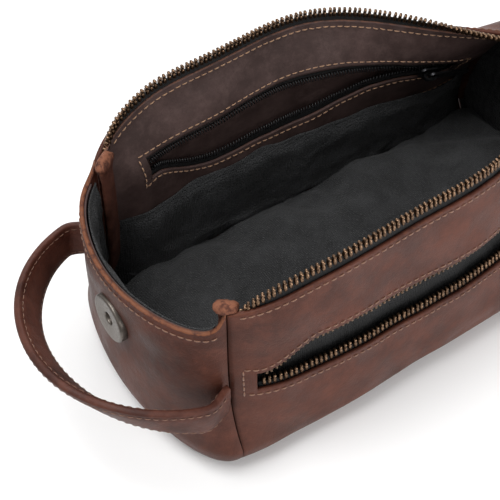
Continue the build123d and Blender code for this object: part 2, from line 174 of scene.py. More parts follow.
def end_point(side, t, v):
    """Outer face of the left (side -1) or right end, for t from -1 to 1 between its seams."""
    seam_x = side * bag_length / 2
    bow = left_bow if side < 0 else right_bow
    dip = left_dip if side < 0 else 2.0
    half, height = section(seam_x, v)
    round_in = 1 - math.sin(math.pi / 2 * min(v / 0.24, 1.0))
    reach = bow * (1 - 0.45 * round_in)
    if side > 0:
        reach *= 1 - 0.75 * ease((v - 0.45) / 0.55)
    turn = math.pi / 2 * t
    drop = dip * v**5 * (1 - abs(t) ** 10)
    free = ease(v / 0.3) * ease((1 - abs(t)) / 0.3)
    wave = softness((seam_x, half * t, height), 5.2, 40, 2.4) * free
    return np.array((seam_x + side * (reach * math.cos(turn) + wave), half * math.sin(turn), height - drop))


def normal_of(surface, u, v, step_u):
    """Unit normal of surface(u, v) that points into the bag."""
    along = surface(u + step_u, v) - surface(u - step_u, v)
    up = surface(u, min(v + v_step, 1.0)) - surface(u, max(v - v_step, 0.0))
    normal = np.cross(along, up)
    normal /= np.linalg.norm(normal)
    here = surface(u, v)
    if normal @ (middle_of_bag - here) < 0:
        normal = -normal
    return normal


def wall_normal(side, x, v):
    def surface(a, b):
        return wall_point(side, a, b)

    return normal_of(surface, x, v, wall_step)


def end_normal(side, t, v):
    def surface(a, b):
        return end_point(side, a, b)

    return normal_of(surface, t, v, end_step)


def wall_in(side, x, v, depth):
    """Point of a wall moved inwards."""
    return wall_point(side, x, v) + wall_normal(side, x, v) * depth


def end_in(side, t, v, depth):
    return end_point(side, t, v) + end_normal(side, t, v) * depth


def height_to_v(x, height):
    """The v at which the wall reaches a height, by halving."""
    low, high = 0.2, 1.0
    for _ in range(24):
        middle = (low + high) / 2
        if section(x, middle)[1] < height:
            low = middle
        else:
            high = middle
    return low


def below_zip(x, down):
    """The v that lies down millimetres below the zip line."""
    v = 1.0
    gone = 0.0
    here = section(x, v)
    while gone < down:
        v -= 0.002
        there = section(x, v)
        gone += math.hypot(there[0] - here[0], there[1] - here[1])
        here = there
    return v


# ---------------------------------------------------------------- mesh helpers
def new_object(name, points, faces):
    mesh = bpy.data.meshes.new(name)
    mesh.from_pydata([tuple(np.asarray(p) * MM) for p in points], [], faces)
    mesh.validate()
    mesh.update()
    mesh.polygons.foreach_set("use_smooth", [True] * len(mesh.polygons))
    thing = bpy.data.objects.new(name, mesh)
    bpy.context.scene.collection.objects.link(thing)
    return thing


def tidy_normals(thing, merge=0.02):
    """Merges points that coincide, and turns every face outwards."""
    work = bmesh.new()
    work.from_mesh(thing.data)
    bmesh.ops.remove_doubles(work, verts=work.verts, dist=merge * MM)
    bmesh.ops.recalc_face_normals(work, faces=work.faces)
    work.to_mesh(thing.data)
    work.free()


def set_wear(thing, values):
    """Per-point wear, 1 at a cut or folded edge."""
    layer = thing.data.attributes.new("wear", "FLOAT", "POINT")
    layer.data.foreach_set("value", values)


def skin_faces(i, j, at):
    """The outer and the inner face of one cell of a sheet."""
    outer = (at(i, j, 0), at(i + 1, j, 0), at(i + 1, j + 1, 0), at(i, j + 1, 0))
    inner = (at(i, j, 1), at(i, j + 1, 1), at(i + 1, j + 1, 1), at(i + 1, j, 1))
    return [outer, inner]


def sheet_piece(name, grid, thickness, wear=None):
    """A closed sheet from a grid of points, thickened along its own normals towards the inside."""
    g = np.array(grid)
    rows, columns = g.shape[:2]
    along = np.gradient(g, axis=0)
    across = np.gradient(g, axis=1)
    normals = np.cross(along, across)
    normals /= np.maximum(np.linalg.norm(normals, axis=2, keepdims=True), 1e-9)
    middle = g[rows // 2, columns // 2]
    if normals[rows // 2, columns // 2] @ (middle_of_bag - middle) < 0:
        normals = -normals
    other = g + normals * thickness
    points = np.concatenate([g.reshape(-1, 3), other.reshape(-1, 3)])
    count = rows * columns

    def at(i, j, layer):
        return layer * count + i * columns + j

    faces = []
    for i in range(rows - 1):
        for j in range(columns - 1):
            faces += skin_faces(i, j, at)
    last_row, last = rows - 1, columns - 1
    for i in range(rows - 1):
        faces.append((at(i, 0, 0), at(i, 0, 1), at(i + 1, 0, 1), at(i + 1, 0, 0)))
        faces.append((at(i, last, 0), at(i + 1, last, 0), at(i + 1, last, 1), at(i, last, 1)))
    for j in range(columns - 1):
        faces.append((at(0, j, 0), at(0, j + 1, 0), at(0, j + 1, 1), at(0, j, 1)))
        faces.append((at(last_row, j, 0), at(last_row, j, 1), at(last_row, j + 1, 1), at(last_row, j + 1, 0)))
    thing = new_object(name, points, faces)
    if wear is not None:
        flat = np.array(wear, dtype=float).reshape(-1)
        set_wear(thing, np.concatenate([flat, flat * 0.6]))
    else:
        set_wear(thing, np.zeros(2 * count))
    tidy_normals(thing, 0.01)
    return thing


def ring_faces(rings, sides):
    """Faces of a closed tube of rings, with a cap on each end."""
    faces = [tuple(range(sides))[::-1], tuple(range((rings - 1) * sides, rings * sides))]
    for i in range(rings - 1):
        for k in range(sides):
            a = i * sides + k
            b = i * sides + (k + 1) % sides
            faces.append((a, b, b + sides, a + sides))
    return faces


def capsule(length, radius, flat):
    """Points and faces of one thread stitch lying along X, bowed a little out of the surface."""
    rings = 5
    sides = 6
    points = []
    for i in range(rings):
        s = i / (rings - 1)
        size = radius * math.sin(math.pi * (0.12 + 0.76 * s)) ** 0.5
        x = length * (s - 0.5)
        lift = 0.25 * math.sin(math.pi * s)
        for k in range(sides):
            a = 2 * math.pi * k / sides
            points.append((x, size * math.cos(a), lift + size * flat * math.sin(a)))
    return np.array(points), ring_faces(rings, sides)


def instances(name, points, faces, frames):
    """One mesh holding a copy of a shape in each frame (origin, x, y, z)."""
    all_points = []
    all_faces = []
    for index, (origin, ax, ay, az) in enumerate(frames):
        turned = points[:, :1] * ax + points[:, 1:2] * ay + points[:, 2:3] * az + origin
        all_points.append(turned)
        offset = index * len(points)
        all_faces += [tuple(f + offset for f in face) for face in faces]
    return new_object(name, np.concatenate(all_points), all_faces)


def unit(v):
    return v / max(np.linalg.norm(v), 1e-9)


def walk(path, pitch):
    """Frames every pitch along a path of (point, outward normal)."""
    places = np.array([p for p, _ in path])
    outs = np.array([n for _, n in path])
    steps = np.linalg.norm(np.diff(places, axis=0), axis=1)
    run = np.concatenate([[0], np.cumsum(steps)])
    frames = []
    distance = pitch / 2
    while distance < run[-1] - pitch / 3:
        i = min(np.searchsorted(run, distance) - 1, len(steps) - 1)
        f = (distance - run[i]) / max(steps[i], 1e-9)
        place = places[i] * (1 - f) + places[i + 1] * f
        out = unit(outs[i] * (1 - f) + outs[i + 1] * f)
        along = unit(places[i + 1] - places[i])
        side = unit(np.cross(out, along))
        frames.append((place, along, side, unit(np.cross(along, side))))
        distance += pitch
    return frames


def stitches(name, path, material, body="bag", length=2.7, radius=0.42):
    """A row of thread stitches along a path of (point, outward normal)."""
    points, faces = capsule(length, radius, 0.7)
    thing = instances(name, points, faces, walk(path, stitch_pitch))
    finish(thing, material, body)
    return thing


def finish(thing, material, body):
    """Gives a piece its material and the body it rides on."""
    thing.data.materials.clear()
    thing.data.materials.append(material)
    if body:
        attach(thing, body)
    return thing


# ---------------------------------------------------------------- materials
def node_tree(name, colour):
    material = bpy.data.materials.new(name)
    material.use_nodes = True
    tree = material.node_tree
    shader = tree.nodes["Principled BSDF"]
    shader.inputs["Base Color"].default_value = (*colour, 1)
    return material, tree, shader


def noise_node(tree, scale, detail=4.0, stretch=None, rough=0.55):
    """Noise in object space; scale is features per metre."""
    place = tree.nodes.new("ShaderNodeTexCoord")
    texture = tree.nodes.new("ShaderNodeTexNoise")
    texture.inputs["Scale"].default_value = scale
    texture.inputs["Detail"].default_value = detail
    texture.inputs["Roughness"].default_value = rough
    if stretch:
        mapping = tree.nodes.new("ShaderNodeMapping")
        mapping.inputs["Scale"].default_value = stretch
        tree.links.new(place.outputs["Object"], mapping.inputs["Vector"])
        tree.links.new(mapping.outputs["Vector"], texture.inputs["Vector"])
    else:
        tree.links.new(place.outputs["Object"], texture.inputs["Vector"])
    return texture.outputs["Fac"]


def cells_node(tree, scale):
    place = tree.nodes.new("ShaderNodeTexCoord")
    texture = tree.nodes.new("ShaderNodeTexVoronoi")
    texture.feature = "DISTANCE_TO_EDGE"
    texture.inputs["Scale"].default_value = scale
    tree.links.new(place.outputs["Object"], texture.inputs["Vector"])
    return texture.outputs["Distance"]


def ramp(tree, value, low, high, low_out=0.0, high_out=1.0):
    node = tree.nodes.new("ShaderNodeMapRange")
    node.interpolation_type = "SMOOTHSTEP"
    node.inputs["From Min"].default_value = low
    node.inputs["From Max"].default_value = high
    node.inputs["To Min"].default_value = low_out
    node.inputs["To Max"].default_value = high_out
    tree.links.new(value, node.inputs["Value"])
    return node.outputs["Result"]


def blend_colour(tree, factor, a, b):
    node = tree.nodes.new("ShaderNodeMix")
    node.data_type = "RGBA"
    tree.links.new(factor, node.inputs[0])
    for value, socket in ((a, node.inputs[6]), (b, node.inputs[7])):
        if isinstance(value, tuple):
            socket.default_value = (*value, 1)
        else:
            tree.links.new(value, socket)
    return node.outputs[2]


def maths(tree, operation, a, b):
    node = tree.nodes.new("ShaderNodeMath")
    node.operation = operation
    for value, socket in ((a, node.inputs[0]), (b, node.inputs[1])):
        if isinstance(value, float):
            socket.default_value = value
        else:
            tree.links.new(value, socket)
    return node.outputs[0]


def bump(tree, shader, heights):
    """Chain of bumps: (height, strength, distance in millimetres)."""
    last = None
    for height, strength, distance in heights:
        node = tree.nodes.new("ShaderNodeBump")
        node.inputs["Strength"].default_value = strength
        node.inputs["Distance"].default_value = distance * MM
        tree.links.new(height, node.inputs["Height"])
        if last:
            tree.links.new(last, node.inputs["Normal"])
        last = node.outputs["Normal"]
    tree.links.new(last, shader.inputs["Normal"])


def leather_material(name, dark, mid, light, worn, rough=0.52, grain=1.0):
    """Waxed leather: cloudy pull-up colour, creases, pores, pale rubbed patches, worn edges."""
    material, tree, shader = node_tree(name, mid)
    cloud = ramp(tree, noise_node(tree, 40, 8, rough=0.62), 0.34, 0.68)
    patch = ramp(tree, noise_node(tree, 120, 8, rough=0.7), 0.42, 0.70)
    rub = ramp(tree, noise_node(tree, 46, 7, (1.0, 1.0, 2.6), 0.7), 0.56, 0.78)
    speck = ramp(tree, noise_node(tree, 900, 3), 0.50, 0.72)
    colour = blend_colour(tree, cloud, dark, mid)
    colour = blend_colour(tree, maths(tree, "MULTIPLY", patch, 0.36), colour, light)
    colour = blend_colour(tree, maths(tree, "MULTIPLY", rub, 0.30), colour, light)
    colour = blend_colour(tree, maths(tree, "MULTIPLY", speck, 0.30), colour, dark)
    wear = tree.nodes.new("ShaderNodeAttribute")
    wear.attribute_name = "wear"
    patchy = ramp(tree, noise_node(tree, 260, 6, rough=0.7), 0.30, 0.62, 0.35, 1.25)
    broken = maths(tree, "MULTIPLY", wear.outputs["Fac"], patchy)
    edge = ramp(tree, broken, 0.30, 0.85)
    colour = blend_colour(tree, edge, colour, worn)
    tree.links.new(colour, shader.inputs["Base Color"])
    wax = ramp(tree, noise_node(tree, 60, 5), 0.3, 0.7, rough - 0.09, rough + 0.12)
    tree.links.new(wax, shader.inputs["Roughness"])
    shader.inputs["Specular IOR Level"].default_value = 0.20
    pores = ramp(tree, cells_node(tree, 1250), 0.0, 0.16)
    crease = ramp(tree, cells_node(tree, 330), 0.0, 0.10)
    bump(
        tree,
        shader,
        (
            (crease, 0.16 * grain, 0.35),
            (pores, 0.22 * grain, 0.16),
            (noise_node(tree, 2600, 3), 0.20 * grain, 0.10),
            (noise_node(tree, 130, 6), 0.35 * grain, 0.9),
        ),
    )
    return material


def cloth_material(name, dark, light, threads, sheen, rough, depth):
    """Woven cloth: crossed threads in object space, a little fuzz and slow shade."""
    material, tree, shader = node_tree(name, dark)
    place = tree.nodes.new("ShaderNodeTexCoord")
    waves = []
    for direction in "XYZ":
        wave = tree.nodes.new("ShaderNodeTexWave")
        wave.bands_direction = direction
        wave.inputs["Scale"].default_value = threads
        wave.inputs["Distortion"].default_value = 1.2
        wave.inputs["Detail"].default_value = 1.0
        wave.inputs["Detail Scale"].default_value = 2.0
        tree.links.new(place.outputs["Object"], wave.inputs["Vector"])
        waves.append(wave.outputs["Fac"])
    weave = maths(tree, "MULTIPLY", waves[0], maths(tree, "MAXIMUM", waves[1], waves[2]))
    shade = ramp(tree, noise_node(tree, 60, 5), 0.3, 0.75)
    colour = blend_colour(tree, maths(tree, "MULTIPLY", shade, 0.6), dark, light)
    colour = blend_colour(tree, maths(tree, "MULTIPLY", weave, 0.5), colour, light)
    tree.links.new(colour, shader.inputs["Base Color"])
    shader.inputs["Roughness"].default_value = rough
    shader.inputs["Sheen Weight"].default_value = sheen
    shader.inputs["Sheen Roughness"].default_value = 0.45
    shader.inputs["Specular IOR Level"].default_value = 0.32
    pucker = ramp(tree, cells_node(tree, 640), 0.0, 0.35)
    bump(tree, shader, ((pucker, 0.55, depth), (weave, 0.5, depth), (noise_node(tree, 1500, 3), 0.4, 0.15)))
    return material


def metal_material(name, colour, dull, rough, patina, scale):
    """Metal with dark patina in its hollows and fine scratches."""
    material, tree, shader = node_tree(name, colour)
    spots = ramp(tree, noise_node(tree, scale, 5, rough=0.6), 0.38, 0.66)
    mixed = blend_colour(tree, maths(tree, "MULTIPLY", spots, patina), colour, dull)
    tree.links.new(mixed, shader.inputs["Base Color"])
    shader.inputs["Metallic"].default_value = 1.0
    tree.links.new(ramp(tree, spots, 0.0, 1.0, rough, rough + 0.18), shader.inputs["Roughness"])
    bump(tree, shader, ((noise_node(tree, 3000, 2, (1, 6, 6)), 0.08, 0.05),))
    return material


def thread_material(name, colour, dark):
    """Twisted thread."""
    material, tree, shader = node_tree(name, colour)
    twist = ramp(tree, noise_node(tree, 2200, 3, (1.0, 2.5, 1.0)), 0.35, 0.65)
    tree.links.new(blend_colour(tree, twist, dark, colour), shader.inputs["Base Color"])
    shader.inputs["Roughness"].default_value = 0.75
    shader.inputs["Sheen Weight"].default_value = 0.2
    bump(tree, shader, ((twist, 0.5, 0.08),))
    return material


def resin_material(name, colour, rough):
    """Moulded plastic, a little uneven."""
    material, tree, shader = node_tree(name, colour)
    dull = ramp(tree, noise_node(tree, 900, 3), 0.3, 0.7, rough - 0.06, rough + 0.1)
    tree.links.new(dull, shader.inputs["Roughness"])
    bump(tree, shader, ((noise_node(tree, 2500, 3), 0.15, 0.05),))
    return material


# Colours run from dark to light, and the leathers end with the colour of a worn edge.
shell_leather = leather_material(
    "shell_leather",
    (0.042, 0.0125, 0.0074),
    (0.078, 0.0240, 0.0142),
    (0.135, 0.048, 0.031),
    (0.155, 0.055, 0.025),
)
strap_leather = leather_material(
    "strap_leather",
    (0.030, 0.0085, 0.0054),
    (0.080, 0.0250, 0.0152),
    (0.145, 0.054, 0.036),
    (0.16, 0.056, 0.027),
)
facing_leather = leather_material(
    "facing_leather",
    (0.042, 0.0250, 0.0225),
    (0.080, 0.049, 0.0445),
    (0.125, 0.082, 0.075),
    (0.13, 0.060, 0.040),
    rough=0.66,
    grain=0.8,
)
binding_leather = leather_material(
    "binding_leather",
    (0.030, 0.0095, 0.0060),
    (0.070, 0.0220, 0.0135),
    (0.125, 0.050, 0.032),
    (0.185, 0.070, 0.038),
    rough=0.70,
    grain=1.7,
)
lining_cloth = cloth_material(
    "lining_cloth",
    (0.0078, 0.0080, 0.0084),
    (0.040, 0.041, 0.043),
    threads=300,
    sheen=0.08,
    rough=0.70,
    depth=1.0,
)
# Black pocket cloth, about a third as bright as the lining cloth. The extra darkness is painted shade for the
# shade inside the front pocket.
pouch_cloth_painted_shade = cloth_material(
    "pouch_cloth_painted_shade",
    (0.0030, 0.0031, 0.0033),
    (0.014, 0.0143, 0.0150),
    threads=300,
    sheen=0.03,
    rough=0.80,
    depth=0.5,
)
tape_cloth = cloth_material(
    "tape_cloth",
    (0.0040, 0.0040, 0.0042),
    (0.017, 0.017, 0.018),
    threads=520,
    sheen=0.04,
    rough=0.8,
    depth=0.2,
)
tooth_metal = metal_material("tooth_metal", (0.21, 0.130, 0.080), (0.035, 0.022, 0.015), 0.30, 0.9, 900)
slider_metal = metal_material("slider_metal", (0.190, 0.122, 0.074), (0.055, 0.036, 0.025), 0.30, 0.7, 900)
gun_metal = metal_material("gun_metal", (0.155, 0.137, 0.120), (0.105, 0.092, 0.080), 0.36, 0.5, 1900)
bright_metal = metal_material("bright_metal", (0.62, 0.60, 0.57), (0.3, 0.28, 0.26), 0.2, 0.4, 900)
black_metal = metal_material("black_metal", (0.03, 0.03, 0.032), (0.012, 0.012, 0.013), 0.35, 0.5, 600)
tan_thread = thread_material("tan_thread", (0.40, 0.235, 0.135), (0.22, 0.115, 0.065))
rust_thread = thread_material("rust_thread", (0.215, 0.105, 0.060), (0.115, 0.052, 0.030))
coil_resin = resin_material("coil_resin", (0.010, 0.010, 0.011), 0.38)
board_stuff = resin_material("board_stuff", (0.03, 0.03, 0.03), 0.7)


# ---------------------------------------------------------------- pockets' lines
class Pocket:
    """A zipped slit in one wall, as in the CAD: its line, its gape and its layer's depth."""

    def __init__(self, side, start, stop, height, rise, gape, lean, open_run, hold, layer):
        self.side = side
        self.start = start
        self.stop = stop
        self.height = height
        self.rise = rise
        self.gape = gape
        self.lean = lean
        self.open_run = open_run
        self.hold = hold
        self.layer = layer

    def centre(self, x):
        """Height of the slit's middle; lean 1 keeps its lower lip straight, -1 its upper lip."""
        s = (x - self.start) / (self.stop - self.start)
        line = self.height + self.rise * math.sin(math.pi * min(max(s, 0.0), 1.0))
        return line + self.lean * (self.half_gape(x) - closed_half)

    def half_gape(self, x):
        opening = ease((x - self.start) / self.open_run)
        shut_run = self.stop - pocket_closed - self.start - self.hold
        shutting = 1 - ease((x - self.start - self.hold) / shut_run)
        return closed_half + (self.gape / 2 - closed_half) * opening * shutting

    def at(self, x, away, lift):
        """Point away above the slit's middle, lift inwards from the slit's own layer."""
        v = height_to_v(x, self.centre(x) + away)
        return wall_in(self.side, x, v, self.layer(v) + lift)

    def edge(self, x, sign, away, lift):
        return self.at(x, sign * (self.half_gape(x) + away), lift)


pocket_closed = 22.0
liner_depth = 13.4


def liner_layer(v):
    """Depth of facing and lining: deep low down, close to the leather at the rim."""
    return liner_depth - (liner_depth - leather - tape_thick - 0.2) * ease((v - 0.72) / 0.24)


def front_layer(_):
    """Depth of the front pocket's layer, the same at every v."""
    return leather


def hugging(x, depth):
    """Inner layers are sewn into the corner seams, so there they lie close to the leather."""
    close = leather + 1.0
    return close + (depth - close) * ease((x - left_x) / 22) * ease((right_x - 6 - x) / 20)


outer_pocket = Pocket(
    side=-1,
    start=-112.0,
    stop=100.0,
    height=61.5,
    rise=1.0,
    gape=21.0,
    lean=1,
    open_run=28.0,
    hold=120.0,
    layer=front_layer,
)
inner_pocket = Pocket(
    side=1,
    start=-98.0,
    stop=84.0,
    height=86.0,
    rise=4.0,
    gape=24.0,
    lean=-1,
    open_run=46.0,
    hold=90.0,
    layer=liner_layer,
)
outer_window = 2.6          # how far the leather's edge lies past the tape's edge
inner_window = 2.8


def split_columns(x, pocket, margin, low_v, high_v, low_count, high_count):
    """v stations at x, below and above a slit; beyond the slit's ends the two rows meet."""
    middle = pocket.centre(x)
    half = 0.0
    if pocket.start < x < pocket.stop:
        half = pocket.half_gape(x) + margin
    below = spread(low_v, height_to_v(x, middle - half), low_count)
    above = spread(height_to_v(x, middle + half), high_v, high_count)
    return below, above


def with_stops(xs, pocket):
    """Stations with a pair close round each of the slit's ends, so that its ends are square."""
    stops = []
    for end in (pocket.start, pocket.stop):
        stops += [end - 0.05, end + 0.05, end - 1.2, end + 1.2]
    return sorted(set(list(xs) + stops))


def edge_wear(distance, reach):
    """Wear that fades with the distance from an edge."""
    return math.exp(-max(distance, 0.0) / reach)


# ---------------------------------------------------------------- leather shell
def base_row(x):
    """Points across the flat base, strictly between the walls."""
    near = wall_point(1, x, 0.0)
    far = wall_point(-1, x, 0.0)
    count = 24 // fine
    return [near + (far - near) * (i / count) for i in range(1, count)]


def slit_sheet(name, grid, xs, seam, pocket, thickness, wear):
    """A sheet like sheet_piece's whose faces between the two rows at the slit are left out."""
    g = np.array(grid)
    rows, columns = g.shape[:2]
    along = np.gradient(g, axis=0)
    across = np.empty_like(g)
    across[:, : seam + 1] = np.gradient(g[:, : seam + 1], axis=1)
    across[:, seam + 1 :] = np.gradient(g[:, seam + 1 :], axis=1)
    normals = np.cross(along, across)
    normals /= np.maximum(np.linalg.norm(normals, axis=2, keepdims=True), 1e-9)
    middle = g[rows // 2, columns // 3]
    if normals[rows // 2, columns // 3] @ (middle_of_bag - middle) < 0:
        normals = -normals
    # The pairs of stations at the slit's ends take their neighbours' normals.
    for i in range(1, rows - 1):
        for end in (pocket.start, pocket.stop):
            if abs(xs[i] - end) < 0.1:
                normals[i] = normals[i - 1] if xs[i] < end else normals[i + 1]
    other = g + normals * thickness
    count = rows * columns
    points = np.concatenate([g.reshape(-1, 3), other.reshape(-1, 3)])

    def at(i, j, layer):
        return layer * count + i * columns + j

    def open_here(i):
        return pocket.start < (xs[i] + xs[i + 1]) / 2 < pocket.stop

    faces = []
    for i in range(rows - 1):
        for j in range(columns - 1):
            if j == seam:
                if open_here(i):
                    faces.append((at(i, j, 0), at(i, j, 1), at(i + 1, j, 1), at(i + 1, j, 0)))
                    faces.append((at(i, j + 1, 0), at(i + 1, j + 1, 0), at(i + 1, j + 1, 1), at(i, j + 1, 1)))
                continue
            faces += skin_faces(i, j, at)
        for j in (0, columns - 1):
            faces.append((at(i, j, 0), at(i, j, 1), at(i + 1, j, 1), at(i + 1, j, 0)))
    for i in (0, rows - 1):
        for j in range(columns - 1):
            if j != seam:
                faces.append((at(i, j, 0), at(i, j + 1, 0), at(i, j + 1, 1), at(i, j, 1)))
    for i in range(rows - 1):
        if open_here(i) != (open_here(i - 1) if i > 0 else False):
            faces.append((at(i, seam, 0), at(i, seam + 1, 0), at(i, seam + 1, 1), at(i, seam, 1)))
    thing = new_object(name, points, faces)
    flat = np.array(wear, dtype=float).reshape(-1)
    set_wear(thing, np.concatenate([flat, flat * 0.6]))
    tidy_normals(thing)
    return thing


def slit_wall(name, pocket, margin, thickness, surface, low_v, high_v, counts, edges):
    """A wall layer with a slit; surface(x, v) gives its outer face."""
    xs = with_stops(spread(edges[0], edges[1], 130 // fine), pocket)
    xs = [x for x in xs if edges[0] <= x <= edges[1]]
    low_count, high_count = counts[0] // fine, counts[1] // fine
    slit_step, rim_step = 1.4 * fine, 1.5 * fine
    grid, wear = [], []
    for x in xs:
        below, above = split_columns(x, pocket, margin, low_v(x), high_v(x), low_count, high_count)
        row = [surface(x, v) for v in below + above]
        grid.append(row)
        inside = pocket.start < x < pocket.stop
        lows, highs = len(below), len(above)
        values = [0.55 * edge_wear((lows - 1 - j) * slit_step, 1.0) * inside for j in range(lows)]
        for j in range(highs):
            at_rim = edge_wear((highs - 1 - j) * rim_step, 1.5)
            values.append(max(0.55 * edge_wear(j * slit_step, 1.0) * inside, at_rim))
        wear.append(values)
    return slit_sheet(name, grid, xs, low_count - 1, pocket, thickness, wear)


def shell_wrap():
    """The hide, as one closed sheet with the slit open."""
    xs = with_stops(spread(left_x + 0.4, right_x - 0.6, 150 // fine), outer_pocket)
    back_count, low_count, high_count = 64 // fine, 46 // fine, 28 // fine
    grid, wear = [], []
    for x in xs:
        rim = below_zip(x, tape_show)
        below, above = split_columns(x, outer_pocket, outer_window, 0.0, rim, low_count, high_count)
        back = [wall_point(1, x, v) for v in spread(rim, 0.0, back_count)]
        grid.append(back + base_row(x) + [wall_point(-1, x, v) for v in below + above])
        near_end = 0.34 * edge_wear(min(x - left_x, right_x - x), 2.0)
        inside = outer_pocket.start < x < outer_pocket.stop
        step = 1.6 * fine
        values = [max(0.45 * edge_wear(j * step, 1.2), near_end) for j in range(len(back))]
        values += [max(0.10, near_end)] * len(base_row(x))
        lows, highs = len(below), len(above)
        values += [max(0.42 * edge_wear((lows - 1 - j) * step, 0.9) * inside, near_end) for j in range(lows)]
        for j in range(highs):
            at_rim = 0.45 * edge_wear((highs - 1 - j) * step, 1.2)
            values.append(max(0.42 * edge_wear(j * step, 0.9) * inside, at_rim, near_end))
        wear.append(values)
    seam = back_count + len(base_row(0.0)) + low_count - 1
    thing = slit_sheet("wrap_leather", grid, xs, seam, outer_pocket, leather, wear)
    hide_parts("front_panel", "base_panel", "back_panel")
    return finish(thing, shell_leather, "bag")


def shell_end(side, name, node):
    """Leather end panel, with stations closer together near its seams."""
    grid, wear = [], []
    top = end_tops[side]
    ts = [math.sin(a) for a in spread(-math.pi / 2 * 0.985, math.pi / 2 * 0.985, 90 // fine)]
    vs = spread(0.0, top, 70 // fine)
    for t in ts:
        grid.append([end_point(side, t, v) for v in vs])
        seam = 0.34 * edge_wear((1 - abs(t)) * 40, 1.3)
        row = [max(seam, 0.95 * edge_wear((top - v) * 115, 1.2), 0.2 * edge_wear(v * 100, 3)) for v in vs]
        wear.append(row)
    thing = sheet_piece(name, grid, leather, wear)
    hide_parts(node)
    return finish(thing, shell_leather, "bag")


def end_hem(side, name, node):
    """Turned edge inside an end's top, just below its lip."""
    top = end_tops[side]
    grid = []
    for t in spread(-0.86, 0.86, 70 // fine):
        grid.append([end_in(side, t, v, leather + 0.1) for v in spread(top - 0.085, top - 0.010, 10)])
    thing = sheet_piece(name, grid, 0.9)
    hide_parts(node)
    return finish(thing, facing_leather, "bag")


# ---------------------------------------------------------------- zips
def zip_tape(name, grid, node):
    thing = sheet_piece(name, grid, tape_thick)
    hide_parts(node)
    return finish(thing, tape_cloth, "bag")


def main_tape(side, name, node):
    grid = []
    for x in spread(left_x + 4.5, right_x - 4, 130 // fine):
        drop = zip_drop(x)
        vs = spread(below_zip(x, tape_show + 7 + drop), below_zip(x, drop + 0.4), 8)
        grid.append([wall_in(side, x, v, leather + zip_clear - tape_thick / 2) for v in vs])
    return zip_tape(name, grid, node)


def tooth_shape():
    """A cast tooth: a clamped root, a waist and a head with its nib. X along the row, Y up, Z out."""
    profile = (
        (-1.7, 0.60, 1.30),
        (-1.3, 0.86, 1.62),
        (0.2, 0.88, 1.58),
        (0.9, 0.74, 1.30),
        (1.3, 0.66, 1.05),
        (1.8, 0.74, 1.20),
        (2.4, 0.72, 1.18),
        (2.75, 0.46, 0.80),
    )
    sides = 8
    points = []
    for y, wide, thick in profile:
        for k in range(sides):
            a = 2 * math.pi * (k + 0.5) / sides
            c, s = math.cos(a), math.sin(a)
            across = wide * math.copysign(abs(c) ** 0.6, c)
            points.append((across, y, thick * math.copysign(abs(s) ** 0.6, s)))
    return np.array(points), [face[::-1] for face in ring_faces(len(profile), sides)]


def row_frames(line, start, stop, shift):
    """Places for teeth, as in the CAD: line(x) gives the place, the way up and the way out."""
    frames = []
    step = 0.4
    gone = shift
    x = start
    while x < stop:
        here, up, out = line(x)
        ahead = line(x + step)[0]
        gone += np.linalg.norm(ahead - here)
        x += step
        if gone >= zip_pitch:
            gone -= zip_pitch
            frames.append((here, unit(np.cross(up, out)), up, out))
    return frames


def zip_drop(x):
    """How far the zip turns down into the left corner."""
    return 7.5 * math.exp(-(x - left_x - 5) / 5.5)


def main_line(side):
    """The main zip's row line on one wall, as row_frames reads it."""

    def at(x):
        v = below_zip(x, zip_drop(x)) if zip_drop(x) > 0.05 else 1.0
        here = wall_in(side, x, v, leather + zip_clear)
        below = wall_in(side, x, v - 0.015, leather + zip_clear)
        up = unit(here - below)
        deeper = wall_in(side, x, v, leather + zip_clear + 1)
        return here, up, unit(here - deeper)

    return at


def teeth_row(name, line, start, stop, shift, node):
    points, faces = tooth_shape()
    thing = instances(name, points, faces, row_frames(line, start, stop, shift))
    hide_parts(node)
    return finish(thing, tooth_metal, "bag")


def drawn_in(pocket, x):
    """How far each row moves in where the zip is shut, so that the two rows mesh."""
    return 1.4 * ease((x - pocket.stop + pocket_closed + 8) / 10)


def pocket_line(pocket, sign, lift):
    """A pocket zip's row line on one lip, as row_frames reads it."""

    def at(x):
        away = -drawn_in(pocket, x)
        here = pocket.edge(x, sign, away, lift)
        beyond = pocket.edge(x, sign, away - 1.0, lift)
        deeper = pocket.edge(x, sign, away, lift + 1.0)
        return here, unit(beyond - here), unit(here - deeper)

    return at


def pocket_tape(pocket, sign, lift, name, node):
    grid = []
    for x in spread(pocket.start + 0.5, pocket.stop - 0.5, 110 // fine):
        aways = spread(0.3 - drawn_in(pocket, x), 9.0, 6)
        grid.append([pocket.edge(x, sign, away, lift) for away in aways])
    return zip_tape(name, grid, node)


def coil_row(pocket, sign, lift, name, node):
    """The small zip's coil: one helix of moulded filament along the tape edge."""
    points = []
    turns = 1.55
    x = pocket.start + 3
    angle = 0.0
    line = pocket_line(pocket, sign, lift)
    step = 0.19 * fine
    while x < pocket.stop - 3:
        here, up, out = line(x)
        ring = up * (1.1 + 1.35 * math.cos(angle)) + out * (0.75 * math.sin(angle))
        points.append(here + ring)
        angle += 2 * math.pi * step / turns
        x += step
    curve = bpy.data.curves.new(name, "CURVE")
    curve.dimensions = "3D"
    curve.bevel_depth = 0.36 * MM
    curve.bevel_resolution = 1
    spline = curve.splines.new("POLY")
    spline.points.add(len(points) - 1)
    for target, point in zip(spline.points, points):
        target.co = (*(point * MM), 1)
    holder = bpy.data.objects.new(name + "_curve", curve)
    bpy.context.scene.collection.objects.link(holder)
    mesh = bpy.data.meshes.new_from_object(holder)
    bpy.data.objects.remove(holder)
    thing = bpy.data.objects.new(name, mesh)
    bpy.context.scene.collection.objects.link(thing)
    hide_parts(node)
    return finish(thing, coil_resin, "bag")


# ---------------------------------------------------------------- lining, facing, pouches
def dish(value, low, high, run):
    return ease((value - low) / run) * ease((high - value) / run)


